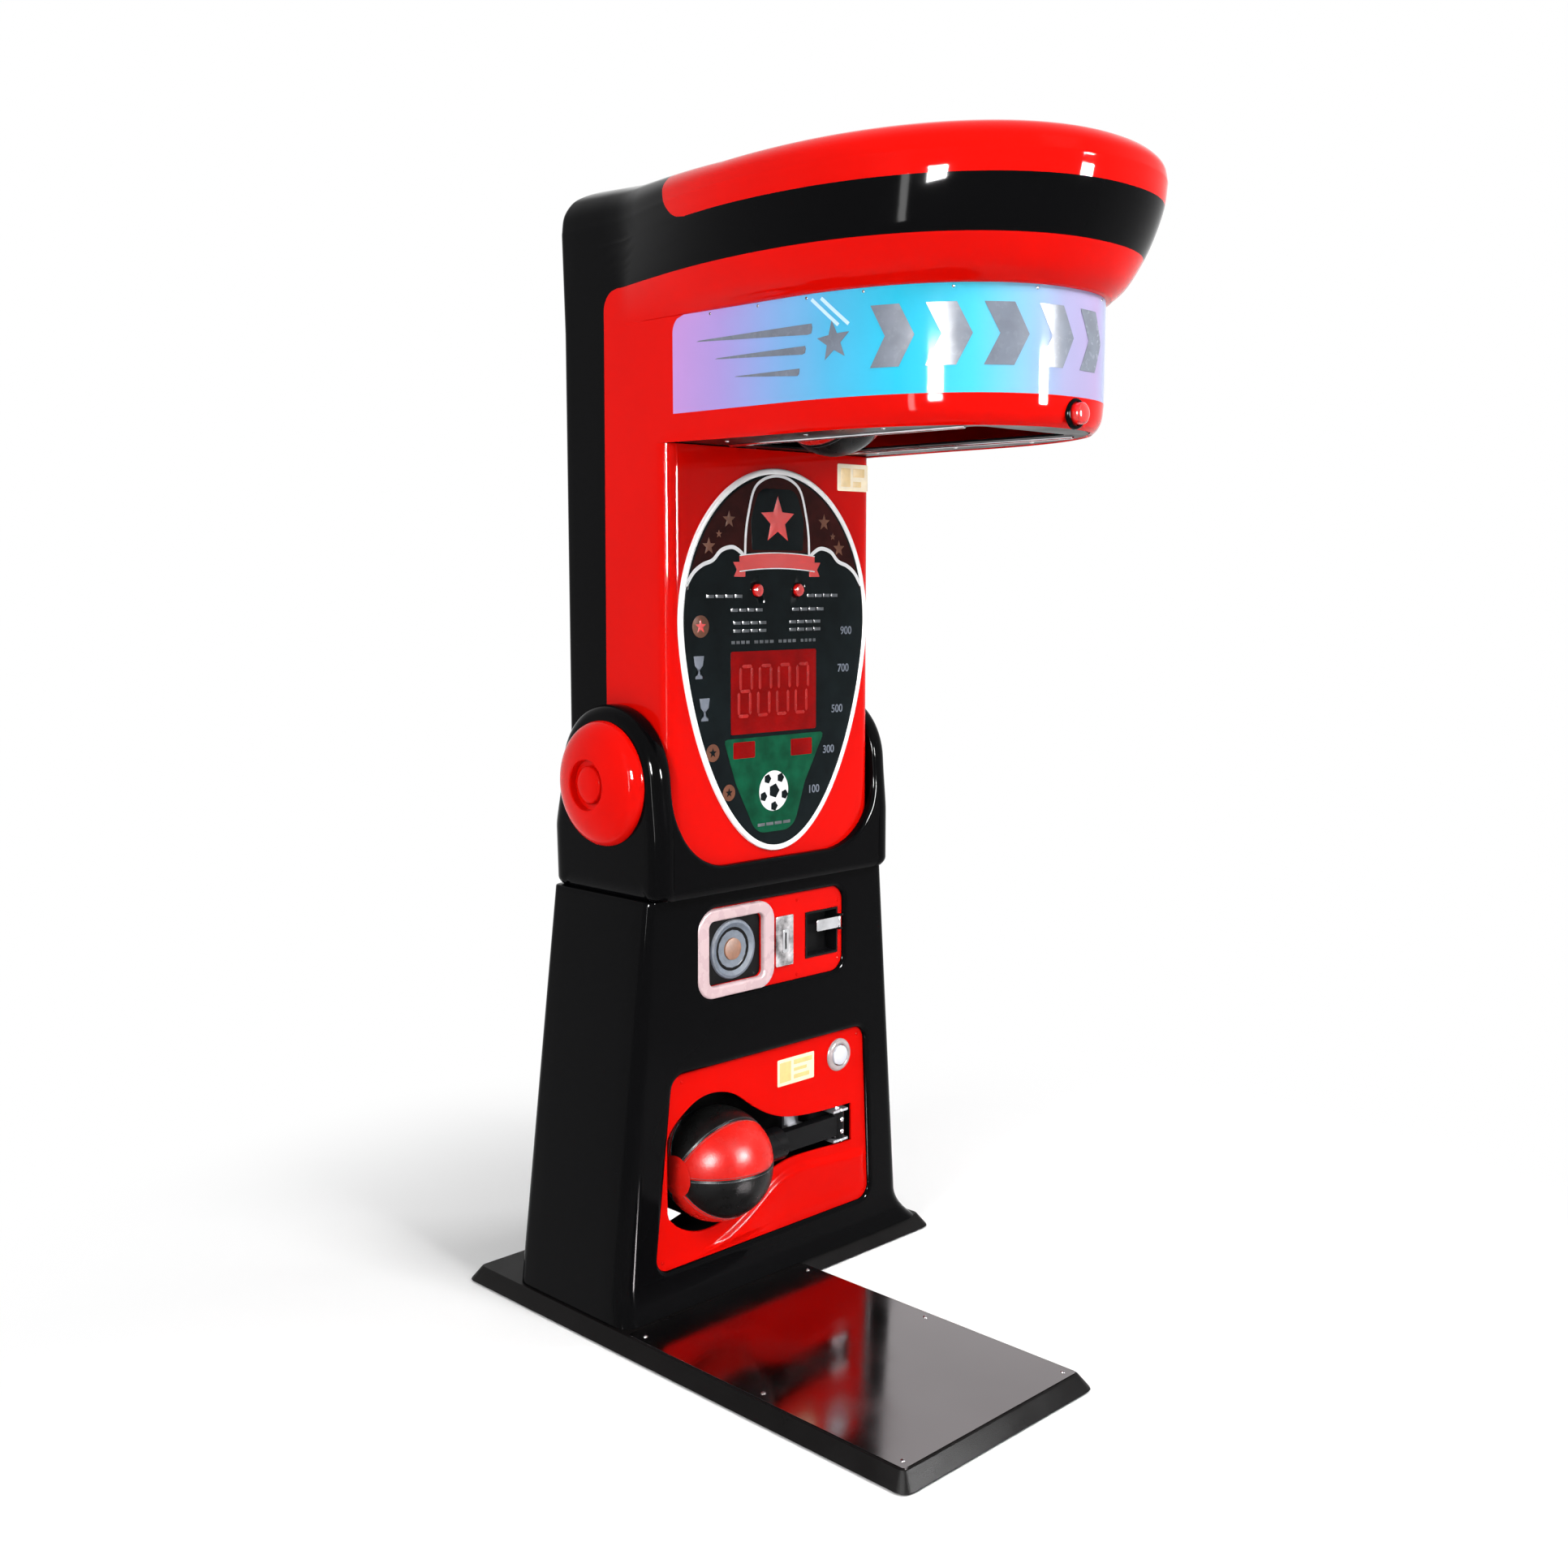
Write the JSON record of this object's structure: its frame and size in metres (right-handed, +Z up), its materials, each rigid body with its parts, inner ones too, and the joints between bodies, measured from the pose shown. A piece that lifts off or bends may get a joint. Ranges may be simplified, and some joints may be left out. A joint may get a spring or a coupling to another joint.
{
  "type": "boxing punch machine",
  "caption": "Free-standing boxing punch machine: folding punch ball under an overhanging head, swing-out kick ball low in the front, coin panel and tread plate.",
  "frame": {"origin": "on the floor, under the middle of the machine's bounding box", "axes": "+Z up; the front, with the display and the tread, towards -Y; +X to the right as seen from the front"},
  "size_m": [0.908, 1.281, 2.208],
  "materials": {
    "red_moulding": "glossy moulded shell",
    "black_moulding": "glossy black moulded shell",
    "black_sheet": "satin black powder coat",
    "red_sheet": "glossy red paint",
    "mirror_sheet": "polished dark sheet",
    "steel": "plain welded steel",
    "chrome": "bright plated",
    "rubber": "matt",
    "ball_leather": "stitched gores of red and black vinyl leather",
    "white_plastic": "satin white",
    "dark_glass": "dark printed glass",
    "lens": "translucent printed lens, lilac to cyan",
    "circuit_board": "bare board",
    "button_red": "translucent red push button",
    "inner_plastic": "plain black"
  },
  "bodies": {
    "machine": {"axle_bearing_left": "steel", "axle_bearing_right": "steel", "base_tray": "black_sheet", "cash_box": "steel", "coin_chute": "steel", "coin_entry": "chrome", "coin_plate": "red_sheet", "coin_reject_cup": "inner_plastic", "coin_validator": "inner_plastic", "control_board": "circuit_board", "display_board": "circuit_board", "display_glass": "dark_glass", "display_ring": "white_plastic", "door_hinge": "steel", "head_cap": "red_moulding", "head_underside_panel": "black_sheet", "holding_magnet": "steel", "hub_cap_left": "red_moulding", "hub_cap_right": "red_moulding", "hub_dome_left": "red_moulding", "hub_dome_right": "red_moulding", "inner_frame": "steel", "kick_axle": "chrome", "kick_bracket": "steel", "kick_button_ring": "chrome", "kick_panel": "red_sheet", "kick_pocket": "inner_plastic", "levelling_foot_1": "rubber", "levelling_foot_2": "rubber", "levelling_foot_3": "rubber", "levelling_foot_4": "rubber", "levelling_foot_5": "rubber", "levelling_foot_6": "rubber", "lower_body_shell": "black_moulding", "marquee_lamp_board": "circuit_board", "marquee_lens": "lens", "power_inlet": "inner_plastic", "power_supply": "steel", "punch_bumper": "rubber", "speaker": "inner_plastic", "speaker_frame": "white_plastic", "speed_sensor": "circuit_board", "spine_shell": "black_moulding", "tread_plate": "mirror_sheet", "upper_body_shell": "red_moulding", "yoke_shell": "black_moulding"},
    "punch_arm": {"punch_axle": "chrome", "punch_arm": "steel", "punch_ball": "ball_leather", "encoder_disc": "inner_plastic"},
    "kick_arm": {"kick_arm": "inner_plastic", "kick_ball": "ball_leather"},
    "kick_button": {"kick_button": "white_plastic"},
    "lip_button": {"lip_button": "button_red"},
    "mode_button_left": {"mode_button_left": "button_red"},
    "mode_button_right": {"mode_button_right": "button_red"},
    "coin_return_lever": {"coin_return_lever": "chrome"},
    "rear_door": {"rear_door": "black_sheet"},
    "door_lock": {"door_lock": "chrome"}
  },
  "joints": [
    {"name": "punch_swing", "type": "hinge", "parent": "machine", "child": "punch_arm", "pos_m": [-0.022, -0.3675, 1.78], "axis": [-1, 0, 0], "range_deg": [0, 92]},
    {"name": "kick_swing", "type": "hinge", "parent": "machine", "child": "kick_arm", "pos_m": [0.189, 0.1925, 0.289], "axis": [0, 0, 1], "range_deg": [0, 90]},
    {"name": "kick_button_press", "type": "slide", "parent": "machine", "child": "kick_button", "axis": [0, 1, 0], "range_m": [0, 0.004], "stiffness_N_per_m": 800},
    {"name": "lip_button_press", "type": "slide", "parent": "machine", "child": "lip_button", "axis": [0, 1, 0], "range_m": [0, 0.004], "stiffness_N_per_m": 800},
    {"name": "mode_left_press", "type": "slide", "parent": "machine", "child": "mode_button_left", "axis": [0, 1, 0], "range_m": [0, 0.004], "stiffness_N_per_m": 800},
    {"name": "mode_right_press", "type": "slide", "parent": "machine", "child": "mode_button_right", "axis": [0, 1, 0], "range_m": [0, 0.004], "stiffness_N_per_m": 800},
    {"name": "coin_return", "type": "hinge", "parent": "machine", "child": "coin_return_lever", "pos_m": [0.1705, 0.1715, 0.7345], "axis": [0, 0, -1], "range_deg": [0, 15], "stiffness_Nm_per_rad": 0.08},
    {"name": "rear_door_swing", "type": "hinge", "parent": "machine", "child": "rear_door", "pos_m": [0.1863, 0.49432, 0.36523], "axis": [0, 0.0533, -0.9986], "range_deg": [0, 110]},
    {"name": "door_lock_turn", "type": "hinge", "parent": "rear_door", "child": "door_lock", "pos_m": [-0.187, 0.49003, 0.365], "axis": [0, -0.9986, -0.0533], "range_deg": [0, 90]}
  ]
}
